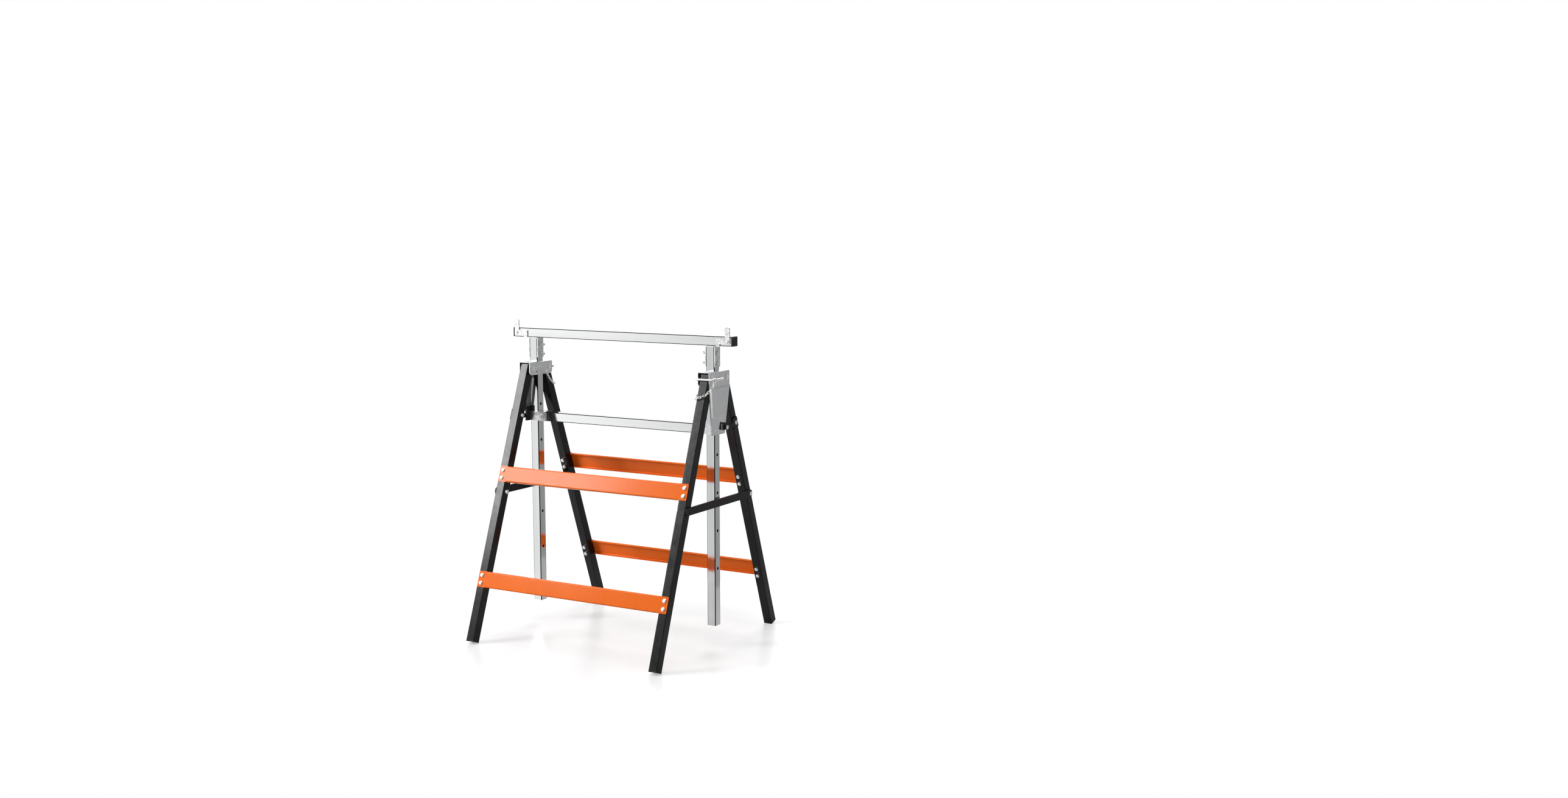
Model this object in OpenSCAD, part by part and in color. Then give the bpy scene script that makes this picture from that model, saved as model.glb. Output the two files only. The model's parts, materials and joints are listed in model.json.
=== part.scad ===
// Height-adjustable builders trestle: two folding leg frames hinged on a pair of head brackets,
// with a top bar on two telescopic tubes that lift and lock on wire pins.
// Millimetres. +X runs along the top bar, -Y is the front, +Z is up, origin on the floor.
// The base is the same after a half turn about +Z, so each front or left piece of it is the
// rear or right piece turned round.

/* [Heights] */
// Height of the leg pivots and of the lock pins
pivot_z = 712; // [700:1:718]
// Spacing of the lock holes
hole_pitch = 100; // [60:1:105]
// Number of lock holes in each telescopic tube
hole_count = 6; // [3:1:6]
// Height of the telescopic tubes' lower ends with the frame down
tube_end_z = 60; // [40:1:120]

/* [Square tubes] */
// Length of the top bar past the middle of each telescopic tube
bar_overhang = 67.5; // [60:0.5:150]
// Side of the top bar, the crossbar and the telescopic tubes
tube_size = 25; // [24:0.5:26]
// Wall of the square tubes
tube_wall = 1.5; // [1:0.1:3]
// Rounding of the square tubes' edges
tube_edge_r = 2; // [1:0.1:4]
// Distance of the telescopic tubes from the middle
tube_x = 285.5; // [240:0.5:290]
// Diameter of the lock holes
lock_hole_d = 8; // [7:0.1:10]
// Height of the crossbar's middle above the shields' lower edge
crossbar_rise = 13; // [12.5:0.5:16]
// Length of an end cap's flange
cap_flange = 4; // [2:0.5:8]
// Length of an end cap's plug inside the bar
cap_plug = 5; // [3:0.5:5]

/* [Legs] */
// Side of the square leg tube
leg_size = 25; // [23:0.5:26]
// Wall of the leg tube
leg_wall = 1.5; // [1:0.1:3]
// Rounding of the leg's edges
leg_edge_r = 2; // [1:0.1:4]
// Distance of the leg pivots from the middle, front and rear
pivot_y = 36; // [34:0.5:37]
// Lean of the open legs from upright, in degrees
leg_lean = 19.5; // [18:0.5:22]
// Fold of the legs from open to closed, in degrees
leg_fold = 13; // [8:0.5:13]
// Length of leg above its pivot
leg_top = 9; // [6:0.5:10]
// Thickness of the foot plug's sole
foot_sole = 4; // [2:0.5:8]
// Length of the foot plug inside the leg
foot_plug = 20; // [10:1:40]

/* [Braces] */
// Height of a brace
brace_h = 43; // [38:1:50]
// Thickness of the brace's sheet
brace_t = 1.5; // [1:0.1:2.5]
// Depth of the brace's flanges
brace_flange = 9; // [5:0.5:12]
// Outer bend radius of the brace's flanges
brace_bend_r = 3.5; // [3:0.1:4.5]
// Rounding of the brace's end corners
brace_corner_r = 3; // [2:0.5:10]
// Distance of the upper brace's middle from the pivot, along the leg
upper_brace_s = 297.5; // [260:0.5:310]
// Distance of the lower brace's middle from the pivot, along the leg
lower_brace_s = 584; // [450:1:640]
// How far a brace stops short of the legs' outer faces
brace_inset = 2; // [0:0.5:4]
// Spacing of the two bolts at each end of a brace
brace_bolt_gap = 21; // [16:0.5:24]

/* [Head brackets] */
// Thickness of the head bracket's sheet
plate_t = 2; // [1.5:0.1:3]
// Distance from a leg's pivot to the head bracket's side edge
head_edge = 13.5; // [12:0.5:16]
// Height of the head bracket above the pivots
head_rise = 18; // [16:0.5:24]
// Outer bend radius at the top of the head bracket
head_bend_r = 4; // [3:0.5:6]
// Depth of the inner plate below the head's top
inner_plate_h = 36; // [34:1:46]
// Radius of the inner plate's lower corners
inner_corner_r = 9; // [4:1:13]
// Depth of the shield's straight upper part
shield_straight_h = 43; // [38:1:56]
// Depth of the shield below the pivots
shield_drop = 146; // [142:1:150]
// Radius of the shield's lobe, which carries the tube guide
lobe_r = 13; // [11:0.5:14]
// Distance of the lobe's middle from the trestle's middle
lobe_y = 26; // [24:0.5:27]
// How far the shield's pressed panel stands out
panel_rise_x = 3; // [1:0.1:3.5]
// Diameter of the leg pivot rivets
pivot_d = 8; // [6:0.5:9]
// Height of the shield's notch for the leg bracket's nose
notch_h = 20.5; // [17:0.5:22]
// Thickness of the shield's arm under the notch
arm_h = 7.5; // [6:0.5:9]

/* [Tube guides] */
// Thickness of the guide straps
guide_t = 2.5; // [1.5:0.1:3]
// Height of the guide straps
guide_h = 25; // [22:0.5:25]
// Length of the guide straps along the crossbar
guide_lap = 26; // [24:1:50]
// Distance of the guide bolt from the telescopic tube
guide_bolt_in = 14; // [10:0.5:16]

/* [Lock pins and chains] */
// Diameter of the lock pin's wire
pin_d = 5.5; // [4.5:0.1:6]
// Travel of a lock pin from drawn to home
pin_travel = 7; // [5:0.5:12]
// Bend radius of the wire's middle line
pin_bend_r = 6; // [5:0.5:10]
// How far the wire's free end reaches past the leg
pin_reach = 9; // [8:0.5:20]
// Diameter of the chain's wire
link_wire = 1.6; // [1.2:0.1:1.7]
// Outer length of a chain link
link_l = 11; // [10.5:0.1:12]
// Outer width of a chain link
link_w = 6.4; // [6:0.1:7]

/* [Stays and leg brackets] */
// Distance along the leg from the upper brace's lower edge to the stay's bolt
stay_below = 24.7; // [20:0.1:40]
// Height of the stay bar
stay_h = 20; // [18:0.5:24]
// Thickness of the stay bar
stay_t = 4; // [3:0.5:5]
// Diameter of the stay's bolt and hook stud
stay_pin_d = 8; // [6:0.5:8.5]
// Length of the stay past its hook stud
stay_end = 13; // [12:0.5:18]
// Length of the stay past its bolt
stay_tail = 9.5; // [8.5:0.5:13]
// Thickness of the stay's outer wall, behind which its hook lies
stay_web = 1.5; // [1:0.1:2]
// Height of the leg bracket's nose
nose_h = 11.5; // [9:0.5:13]
// Thickness of the leg bracket
bracket_t = 2.5; // [2:0.1:4]
// Distance of the nose's tip from the trestle's middle with the legs open
nose_tip_y = 29; // [28:0.5:31]

/* [Saddles and stops] */
// Thickness of the saddle's sheet
saddle_t = 2.5; // [1.5:0.1:4]
// Gap between the saddles and the head brackets with the frame down
saddle_lift = 11; // [4:0.5:40]
// Depth of the saddle's side plates below the bar
saddle_drop = 55; // [52:1:60]
// Depth of the saddle's upper bolt below the bar
saddle_bolt_high = 19.5; // [14:0.5:24]
// Depth of the saddle's lower bolt below the bar
saddle_bolt_low = 45; // [38:0.5:46]
// How far a saddle's bolt reaches past its nut
saddle_bolt_past = 8; // [1:0.5:12]
// Thickness of the end stop plate
stop_t = 3; // [2:0.5:4]
// Height of the stop's tab above the bar
stop_rise = 24; // [10:1:40]
// Width of the stop's tab
stop_tab_w = 14; // [12:0.5:18]
// Length of the stop over its tab and arm
stop_l = 42; // [38:1:60]
// Height of the stop's arm
stop_arm_h = 13; // [10:0.5:14]
// Distance from the bar's end to the stop's outer edge
stop_inset = 7; // [5:0.5:20]

/* [Hidden] */
$fn = 48;
// Overrun of cuts past a face
over = 1;
// Gap between pieces that pass each other
clear = 0.3;
// Radial running clearance of pieces that turn on a bolt, stud or rivet
run_fit = 0.1;
// Radial clearance of a bolt or rivet in the hole that it is fixed in
bolt_fit = 0.1;
// Gap round a telescopic tube in its head and guide
tube_gap = 0.6;
// Gap between a leg and the shield beside it
leg_gap = 0.7;
// Room beside a leg for the telescopic tube's offset
leg_room = 5.7;
// Bolts with a round head
bolt_d = 6;
bolt_head_d = 11.5;
bolt_head_h = 3.4;
bolt_tail = 1.6;
// Hexagon nuts, over corners
nut_d = 11;
nut_h = 5;
// Rivets
rivet_d = 5;
rivet_head_d = 9;
rivet_head_h = 2;
pivot_head_d = 13;
pivot_head_h = 2.2;
// Spacers on the leg pivots
spacer_d = 14;
// Wall between a brace flange and the leg beside it
flange_gap = 1.5;
// Pressed panel of the shield
panel_front_inset = 2.5;
panel_rear_inset = 12;
panel_above = 4;
panel_rise = 38;
panel_slant = 6;
panel_slope_w = 4;
// Thin slice that a tapered shape is drawn between
slice = 0.01;
// Holes beside the tube in the inner plate
anchor_y = 17.7;
anchor_drop = 10;
anchor_hole_d = 5;
anchor_eye_r = 3.4;
// Arched bead of the inner plate
bead_l = 49;
bead_r = 120;
bead_d = 2.4;
bead_drop = 15;
// Guide block behind the shield: its height above the straps, and how far short of the
// rear leg's pivot it ends behind the notch
block_over = 14;
block_short = 6;
// Guide flange past the rivet that holds it
flange_past = 9.5;
// Gap under the leg bracket's nose in the notch, and between nose and shield faces
nose_low_gap = 1.5;
nose_face_gap = 0.2;
nose_bolt_in = 6;
bracket_pad_w = 20;
bracket_pad_h = 30;
bracket_pad_r = 4;
// Stay bolt and stud
stay_gap = 1;
stay_head_d = 11;
stay_head_h = 3;
stay_nut_d = 13;
stay_play = 0.3;
throat_slope_share = 0.25;
// Lock pin
pin_hole_fit = 0.4;
pin_clear = 0.7;
// Chain ring on the pin
ring_r = 6;
ring_from_bend = 3;
link_slack = 0.35;
// Depth of the chain's lowest point below the pivots, and its fall across the leg
chain_drop = 49;
chain_fall = 11;
// Small outline sizes of an end stop
stop_lip_w = 12;
stop_lip_drop = 1.5;
stop_round_r = 3;
// Rounding of a saddle's top edge
saddle_bend_r = 3;

// Heights
head_top_z = pivot_z + head_rise;
bar_low_z = head_top_z + saddle_lift + saddle_drop;
bar_top_z = bar_low_z + tube_size;
tube_top_z = bar_low_z - saddle_t;
shield_mid_z = head_top_z - shield_straight_h;
shield_low_z = pivot_z - shield_drop;
lobe_z = shield_low_z + lobe_r;
crossbar_z = shield_low_z + crossbar_rise;

// Places across the head, from the middle outwards
bar_l = 2 * (tube_x + bar_overhang);
tube_in_x = tube_x - tube_size / 2;
tube_out_x = tube_x + tube_size / 2;
inner_face_x = tube_in_x - tube_gap;
inner_out_x = inner_face_x - plate_t;
leg_in_x = inner_face_x + leg_room;
leg_x = leg_in_x + leg_size / 2;
leg_out_x = leg_in_x + leg_size;
shield_in_x = leg_out_x + leg_gap;
shield_out_x = shield_in_x + plate_t;
head_mid_x = (inner_out_x + shield_out_x) / 2;
half_w = pivot_y + head_edge;
head_w = 2 * half_w;

// Lengths along a leg, from its pivot
leg_l = (pivot_z - leg_size / 2 * sin(leg_lean)) / cos(leg_lean);
stay_s = upper_brace_s + brace_h / 2 + stay_below;
stay_y = pivot_y + stay_s * sin(leg_lean);
stay_z = pivot_z - stay_s * cos(leg_lean);

// Shield notch and leg bracket nose, as arcs about the leg's pivot
notch_low_r = shield_drop - arm_h;
notch_high_r = notch_low_r - notch_h;
nose_low_r = notch_low_r - nose_low_gap;
nose_high_r = nose_low_r - nose_h;
nose_r = (nose_low_r + nose_high_r) / 2;
nose_tip_a = asin((pivot_y - nose_tip_y) / nose_r);
nose_spare_a = 0.8;
notch_end_a = nose_tip_a + leg_fold + nose_spare_a;
arm_tip_y = nose_tip_y - nose_low_gap;
nose_x = shield_in_x + nose_face_gap;
nose_out_x = nose_x + bracket_t;

// Guide
guide_in_y = tube_size / 2 + clear;
guide_out_y = guide_in_y + guide_t;
guide_end_x = tube_in_x - guide_lap;
guide_bolt_x = tube_in_x - guide_bolt_in;

// Stay
stay_x = leg_out_x + stay_gap;
stay_out_x = stay_x + stay_t;
stud_r = stay_pin_d / 2 + stay_play;
throat_l = (stud_r + stay_h / 2) / throat_slope_share;

// Lock pin
pin_r = pin_d / 2;
pin_tip_x = tube_out_x + tube_gap;
pin_stand = max(pivot_head_h + pin_r, pin_bend_r) + clear;
pin_bridge_x = shield_out_x + pin_stand + pin_travel;
leg_front_y = pivot_y + leg_size / 2 / cos(leg_lean);
pin_prong_y = max(leg_front_y, half_w) + pin_r + pin_clear;
pin_end_x = leg_in_x - pin_reach;

// End stops
stop_in_y = tube_size / 2 + clear;
stop_out_x = bar_l / 2 - stop_inset;
stop_pivot_x = stop_out_x - stop_tab_w / 2;
stop_pivot_z = bar_low_z + tube_size / 2;

// Colours
chrome = [0.75, 0.76, 0.78];
zinc = [0.62, 0.63, 0.64];
bright = [0.85, 0.85, 0.82];
black = [0.08, 0.08, 0.09];
orange = [0.92, 0.36, 0.08];
plastic = [0.03, 0.03, 0.03];

// Shared shapes

module half_turn() {
    rotate([0, 0, 180])
        children();
}

module rounded_square(size, r) {
    square([size, size - 2 * r], center = true);
    square([size - 2 * r, size], center = true);
    for (x = [-1, 1], y = [-1, 1])
        translate([x * (size / 2 - r), y * (size / 2 - r)])
            circle(r);
}

module rounded_box(w, h, r) {
    square([w, h - 2 * r], center = true);
    square([w - 2 * r, h], center = true);
    for (x = [-1, 1], y = [-1, 1])
        translate([x * (w / 2 - r), y * (h / 2 - r)])
            circle(r);
}

// Square tube along +Z from the origin
module square_tube(l, size, wall, r) {
    in_r = max(r - wall, wall / 3);
    difference() {
        linear_extrude(l)
            rounded_square(size, r);
        translate([0, 0, -over])
            linear_extrude(l + 2 * over)
                rounded_square(size - 2 * wall, in_r);
    }
}

// Plug with a sole, standing on the origin
module tube_plug(size, wall, r, sole, depth) {
    linear_extrude(sole)
        rounded_square(size, r);
    in_size = size - 2 * wall - 2 * bolt_fit;
    linear_extrude(sole + depth)
        rounded_square(in_size, max(r - wall, wall / 3));
}

module x_rod(d, x0, x1) {
    translate([x0, 0, 0])
        rotate([0, 90, 0])
            cylinder(d = d, h = x1 - x0);
}

module y_rod(d, y0, y1) {
    translate([0, y0, 0])
        rotate([-90, 0, 0])
            cylinder(d = d, h = y1 - y0);
}

// Outline drawn in Y and Z, as a plate from x0 to x1
module yz_plate(x0, x1) {
    translate([x0, 0, 0])
        rotate([90, 0, 90])
            linear_extrude(x1 - x0)
                children();
}

// Round-headed bolt along +Z: the head stands on the origin, the shank goes down
module round_bolt(l) {
    translate([0, 0, -l])
        cylinder(d = bolt_d, h = l + bolt_head_h / 2);
    rivet_head(bolt_head_d, bolt_head_h);
}

module hex_nut(d, h, bore) {
    difference() {
        cylinder(d = d, h = h, $fn = 6);
        translate([0, 0, -over])
            cylinder(d = bore + 2 * bolt_fit, h = h + 2 * over);
    }
}

// Low round rivet head along +Z, standing on the origin
module rivet_head(d, h) {
    cylinder(d = d, h = h / 2);
    translate([0, 0, h / 2])
        cylinder(d1 = d, d2 = d / 2, h = h / 2);
}

// Upper frame

module top_bar() {
    l = bar_l - 2 * cap_flange;
    color(chrome)
        difference() {
            translate([-l / 2, 0, stop_pivot_z])
                rotate([0, 90, 0])
                    square_tube(l, tube_size, tube_wall, tube_edge_r);
            for (x = [-stop_pivot_x, stop_pivot_x])
                translate([x, 0, stop_pivot_z])
                    y_rod(rivet_d + 2 * bolt_fit, -tube_size, 0);
        }
}

module bar_end_caps() {
    color(plastic)
        for (turn = [0, 180])
            rotate([0, 0, turn])
                translate([bar_l / 2, 0, stop_pivot_z])
                    rotate([0, -90, 0])
                        tube_plug(tube_size, tube_wall, tube_edge_r, cap_flange, cap_plug);
}

module saddle_bolt_places() {
    for (drop = [saddle_bolt_high, saddle_bolt_low])
        translate([tube_x, 0, bar_low_z - drop])
            children();
}

module right_tube() {
    color(chrome)
        difference() {
            translate([tube_x, 0, tube_end_z])
                square_tube(tube_top_z - tube_end_z, tube_size, tube_wall, tube_edge_r);
            for (k = [0 : hole_count - 1])
                translate([tube_x, 0, pivot_z - k * hole_pitch])
                    x_rod(lock_hole_d, -tube_size, tube_size);
            saddle_bolt_places()
                x_rod(bolt_d + 2 * bolt_fit, -tube_size, tube_size);
        }
}

module left_tube() {
    half_turn()
        right_tube();
}

module right_saddle() {
    w = tube_size + 2 * saddle_t;
    color(zinc)
        difference() {
            translate([tube_x, tube_size / 2, bar_low_z - saddle_drop])
                rotate([90, 0, 0])
                    linear_extrude(tube_size)
                        difference() {
                            union() {
                                translate([-w / 2, 0])
                                    square([w, saddle_drop - saddle_bend_r]);
                                translate([saddle_bend_r - w / 2, 0])
                                    square([w - 2 * saddle_bend_r, saddle_drop]);
                                for (x = [-1, 1])
                                    translate([x * (w / 2 - saddle_bend_r), saddle_drop - saddle_bend_r])
                                        circle(saddle_bend_r);
                            }
                            translate([-tube_size / 2, -over])
                                square([tube_size, saddle_drop - saddle_t + over]);
                        }
            saddle_bolt_places()
                x_rod(bolt_d + 2 * bolt_fit, -tube_size, tube_size);
        }
}

module left_saddle() {
    half_turn()
        right_saddle();
}

module saddle_bolts() {
    reach = tube_size / 2 + saddle_t;
    color(bright)
        for (turn = [0, 180])
            rotate([0, 0, turn])
                saddle_bolt_places()
                    translate([reach, 0, 0])
                        rotate([0, 90, 0])
                            round_bolt(2 * reach + nut_h + saddle_bolt_past);
}

module saddle_nuts() {
    reach = tube_size / 2 + saddle_t;
    color(bright)
        for (turn = [0, 180])
            rotate([0, 0, turn])
                saddle_bolt_places()
                    translate([-reach, 0, 0])
                        rotate([0, -90, 0])
                            hex_nut(nut_d, nut_h, bolt_d);
}

// End stop: a tab above the bar, an arm along it and a lip, turning on a rivet
module end_stop(side) {
    arm_low_z = stop_pivot_z - stop_arm_h / 2;
    tab_h = bar_top_z + stop_rise - arm_low_z;
    lip_h = arm_low_z - bar_low_z + stop_lip_drop + stop_arm_h;
    arm_x = stop_out_x - stop_l;
    color(zinc)
        difference() {
            translate([0, -stop_in_y, 0])
                rotate([90, 0, 0])
                    linear_extrude(stop_t) {
                        translate([side * stop_pivot_x, arm_low_z + tab_h / 2])
                            rounded_box(stop_tab_w, tab_h, stop_round_r);
                        translate([side * (stop_out_x + arm_x) / 2, stop_pivot_z])
                            rounded_box(stop_l, stop_arm_h, stop_round_r);
                        translate([side * (arm_x + stop_lip_w / 2), arm_low_z + stop_arm_h - lip_h / 2])
                            rounded_box(stop_lip_w, lip_h, stop_round_r);
                    }
            translate([side * stop_pivot_x, 0, stop_pivot_z])
                y_rod(rivet_d + 2 * run_fit, -tube_size, 0);
        }
}

module left_stop() {
    end_stop(-1);
}

module right_stop() {
    end_stop(1);
}

module stop_rivets() {
    stop_front_y = stop_in_y + stop_t + run_fit;
    wall_y = tube_size / 2 - tube_wall;
    color(bright)
        for (x = [-stop_pivot_x, stop_pivot_x])
            translate([x, 0, stop_pivot_z]) {
                y_rod(rivet_d, -stop_front_y - rivet_head_h / 2, -wall_y + rivet_head_h / 2);
                translate([0, -stop_front_y, 0])
                    rotate([90, 0, 0])
                        rivet_head(rivet_head_d, rivet_head_h);
                translate([0, -wall_y, 0])
                    rotate([-90, 0, 0])
                        rivet_head(rivet_head_d, rivet_head_h);
            }
}

// Head assembly

module pivot_places() {
    for (y = [-pivot_y, pivot_y])
        translate([0, y, pivot_z])
            children();
}

// Shield's edge positions at a height, for the taper below the straight part
function rear_edge_y(z) =
    arm_tip_y + (half_w - arm_tip_y) * (z - lobe_z) / (shield_mid_z - lobe_z);
function front_edge_y(z) =
    -(lobe_y + lobe_r) - (half_w - lobe_y - lobe_r) * (z - lobe_z) / (shield_mid_z - lobe_z);

// Ring sector about the rear pivot, from an inner to an outer angle off straight down
module pivot_sector(high_r, low_r, in_a, out_a) {
    far = 2 * low_r;
    intersection() {
        difference() {
            circle(low_r, $fn = 180);
            circle(high_r, $fn = 180);
        }
        polygon([
            [0, 0],
            [-far * sin(in_a), -far * cos(in_a)],
            [far * sin(out_a), -far * cos(out_a)]
        ]);
    }
}

module shield_outline() {
    difference() {
        union() {
            polygon([
                [-half_w, head_top_z],
                [half_w, head_top_z],
                [half_w, shield_mid_z],
                [arm_tip_y, lobe_z],
                [arm_tip_y, shield_low_z + arm_h / 2],
                [arm_tip_y - arm_h / 2, shield_low_z],
                [-lobe_y, shield_low_z],
                [-lobe_y - lobe_r, lobe_z],
                [-half_w, shield_mid_z]
            ]);
            translate([-lobe_y, lobe_z])
                circle(lobe_r);
        }
        translate([pivot_y, pivot_z])
            pivot_sector(notch_high_r, notch_low_r, notch_end_a, leg_lean);
        translate([-lobe_y - lobe_r, shield_low_z])
            difference() {
                translate([-over, -over])
                    square([lobe_r + over, lobe_r + over]);
                translate([lobe_r, lobe_r])
                    circle(lobe_r);
            }
    }
}

module panel_outline() {
    top_z = shield_mid_z + panel_above;
    low_z = shield_low_z + panel_rise;
    front_z = low_z + panel_slant;
    polygon([
        [front_edge_y(top_z) + panel_front_inset, top_z],
        [rear_edge_y(top_z) - panel_rear_inset, top_z],
        [rear_edge_y(low_z) - panel_rear_inset, low_z],
        [front_edge_y(front_z) + panel_front_inset, front_z]
    ]);
}

// Sloped panel pressed outwards from a face of the shield
module pressed_panel(x) {
    hull() {
        yz_plate(x - slice, x)
            panel_outline();
        yz_plate(x, x + panel_rise_x)
            offset(delta = -panel_slope_w)
                panel_outline();
    }
}

module inner_outline() {
    low_z = head_top_z - inner_plate_h;
    translate([0, head_top_z - inner_plate_h / 2])
        rounded_box(head_w, inner_plate_h, inner_corner_r);
    translate([-half_w, low_z + inner_corner_r])
        square([head_w, inner_plate_h - inner_corner_r]);
}

// Inverted channel that the shield, top plate and inner plate are bent from
module head_channel() {
    w = shield_out_x - inner_out_x;
    h = head_top_z - shield_low_z + over;
    in_w = w - 2 * plate_t;
    in_r = head_bend_r - plate_t;
    translate([head_mid_x, half_w, head_top_z])
        rotate([90, 0, 0])
            linear_extrude(head_w)
                difference() {
                    translate([0, -h])
                        rounded_box(w, 2 * h, head_bend_r);
                    translate([0, -h - plate_t])
                        rounded_box(in_w, 2 * h, in_r);
                }
}

module bead() {
    half_a = asin(bead_l / 2 / bead_r);
    translate([inner_out_x, 0, head_top_z - bead_drop - bead_r])
        rotate([90, 0, 90])
            rotate([0, 0, 90 - half_a])
                rotate_extrude(angle = 2 * half_a, $fn = 180)
                    translate([bead_r, 0])
                        circle(d = bead_d, $fn = 16);
}

module right_head() {
    tube_hole = tube_size + 2 * tube_gap;
    color(zinc)
        difference() {
            union() {
                intersection() {
                    head_channel();
                    union() {
                        yz_plate(head_mid_x, shield_out_x + over)
                            shield_outline();
                        yz_plate(inner_out_x - over, head_mid_x)
                            inner_outline();
                    }
                }
                intersection() {
                    bead();
                    yz_plate(inner_out_x - bead_d, inner_face_x)
                        inner_outline();
                }
                pressed_panel(shield_out_x);
            }
            pressed_panel(shield_in_x);
            translate([tube_x - tube_hole / 2, -tube_hole / 2, head_top_z - plate_t - over])
                cube([tube_hole, tube_hole, plate_t + 2 * over]);
            pivot_places()
                x_rod(pivot_d + 2 * bolt_fit, inner_out_x - bead_d, shield_out_x + over);
            translate([0, 0, pivot_z])
                x_rod(pin_d + 2 * pin_hole_fit, head_mid_x, shield_out_x + over);
            translate([0, -lobe_y, lobe_z])
                x_rod(rivet_d + 2 * bolt_fit, head_mid_x, shield_out_x + over);
            for (y = [-anchor_y, anchor_y])
                translate([0, y, pivot_z - anchor_drop])
                    x_rod(anchor_hole_d, inner_out_x - bead_d, head_mid_x);
        }
}

module left_head() {
    half_turn()
        right_head();
}

module leg_pivot_rivets() {
    color(bright)
        for (turn = [0, 180])
            rotate([0, 0, turn])
                pivot_places() {
                    x_rod(pivot_d, inner_out_x - pivot_head_h / 2, shield_out_x + pivot_head_h / 2);
                    translate([shield_out_x, 0, 0])
                        rotate([0, 90, 0])
                            rivet_head(pivot_head_d, pivot_head_h);
                    translate([inner_out_x, 0, 0])
                        rotate([0, -90, 0])
                            rivet_head(pivot_head_d, pivot_head_h);
                }
}

module pivot_spacers() {
    color(zinc)
        for (turn = [0, 180])
            rotate([0, 0, turn])
                pivot_places()
                    difference() {
                        x_rod(spacer_d, inner_face_x, leg_in_x - clear);
                        x_rod(pivot_d + 2 * bolt_fit, inner_out_x, leg_in_x + over);
                    }
}

module crossbar() {
    l = 2 * (tube_in_x - tube_gap);
    color(chrome)
        difference() {
            translate([-l / 2, 0, crossbar_z])
                rotate([0, 90, 0])
                    square_tube(l, tube_size, tube_wall, tube_edge_r);
            for (x = [-guide_bolt_x, guide_bolt_x])
                translate([x, 0, crossbar_z])
                    y_rod(bolt_d + 2 * bolt_fit, -tube_size, tube_size);
        }
}

module right_guide() {
    low_z = crossbar_z - guide_h / 2;
    flange_y = lobe_y + flange_past;
    color(zinc)
        difference() {
            union() {
                translate([guide_end_x, -guide_out_y, low_z])
                    cube([shield_in_x - guide_end_x, guide_t, guide_h]);
                translate([shield_in_x - guide_t, -flange_y, low_z])
                    cube([guide_t, flange_y - guide_in_y, guide_h]);
            }
            translate([guide_bolt_x, 0, crossbar_z])
                y_rod(bolt_d + 2 * bolt_fit, -tube_size, 0);
            translate([0, -lobe_y, lobe_z])
                x_rod(rivet_d + 2 * bolt_fit, head_mid_x, shield_out_x);
        }
}

module left_guide() {
    half_turn()
        right_guide();
}

module guide_rear_straps() {
    color(zinc)
        for (turn = [0, 180])
            rotate([0, 0, turn])
                difference() {
                    translate([guide_end_x, guide_in_y, crossbar_z - guide_h / 2])
                        cube([shield_in_x - guide_end_x, guide_t, guide_h]);
                    translate([guide_bolt_x, 0, crossbar_z])
                        y_rod(bolt_d + 2 * bolt_fit, 0, tube_size);
                }
}

module guide_blocks() {
    x0 = tube_out_x + tube_gap;
    w = shield_in_x - x0;
    low_z = crossbar_z - guide_h / 2;
    color(plastic)
        for (turn = [0, 180])
            rotate([0, 0, turn])
                difference() {
                    translate([x0, -tube_size / 2, low_z])
                        cube([w, tube_size / 2 + pivot_y - block_short, guide_h + block_over]);
                    translate([x0 - over, tube_size / 2, low_z - over])
                        cube([w + 2 * over, guide_t + 2 * clear, guide_h + over + clear]);
                }
}

module guide_bolts() {
    color(bright)
        for (turn = [0, 180])
            rotate([0, 0, turn])
                translate([guide_bolt_x, -guide_out_y, crossbar_z])
                    rotate([90, 0, 0])
                        round_bolt(2 * guide_out_y + nut_h + bolt_tail);
}

module guide_nuts() {
    color(bright)
        for (turn = [0, 180])
            rotate([0, 0, turn])
                translate([guide_bolt_x, guide_out_y, crossbar_z])
                    rotate([-90, 0, 0])
                        hex_nut(nut_d, nut_h, bolt_d);
}

module guide_rivets() {
    in_x = shield_in_x - guide_t;
    color(bright)
        for (turn = [0, 180])
            rotate([0, 0, turn])
                translate([0, -lobe_y, lobe_z]) {
                    x_rod(rivet_d, in_x - rivet_head_h / 2, shield_out_x + rivet_head_h / 2);
                    translate([shield_out_x, 0, 0])
                        rotate([0, 90, 0])
                            rivet_head(rivet_head_d, rivet_head_h);
                    translate([in_x, 0, 0])
                        rotate([0, -90, 0])
                            rivet_head(rivet_head_d, rivet_head_h);
                }
}

// Lock pin: a shank into the head, a bridge along the shield and a prong across the leg's front
module right_lock_pin() {
    bend_x = pin_bridge_x - pin_bend_r;
    color(bright)
        translate([0, 0, pivot_z]) {
            x_rod(pin_d, pin_tip_x, bend_x);
            translate([bend_x, -pin_bend_r, 0])
                rotate_extrude(angle = 90)
                    translate([pin_bend_r, 0])
                        circle(pin_r);
            translate([pin_bridge_x, 0, 0])
                y_rod(pin_d, pin_bend_r - pin_prong_y, -pin_bend_r);
            translate([bend_x, pin_bend_r - pin_prong_y, 0])
                rotate([0, 0, -90])
                    rotate_extrude(angle = 90)
                        translate([pin_bend_r, 0])
                            circle(pin_r);
            translate([0, -pin_prong_y, 0]) {
                x_rod(pin_d, pin_end_x, bend_x);
                translate([pin_end_x, 0, 0])
                    sphere(pin_r);
            }
        }
}

module left_lock_pin() {
    half_turn()
        right_lock_pin();
}

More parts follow.
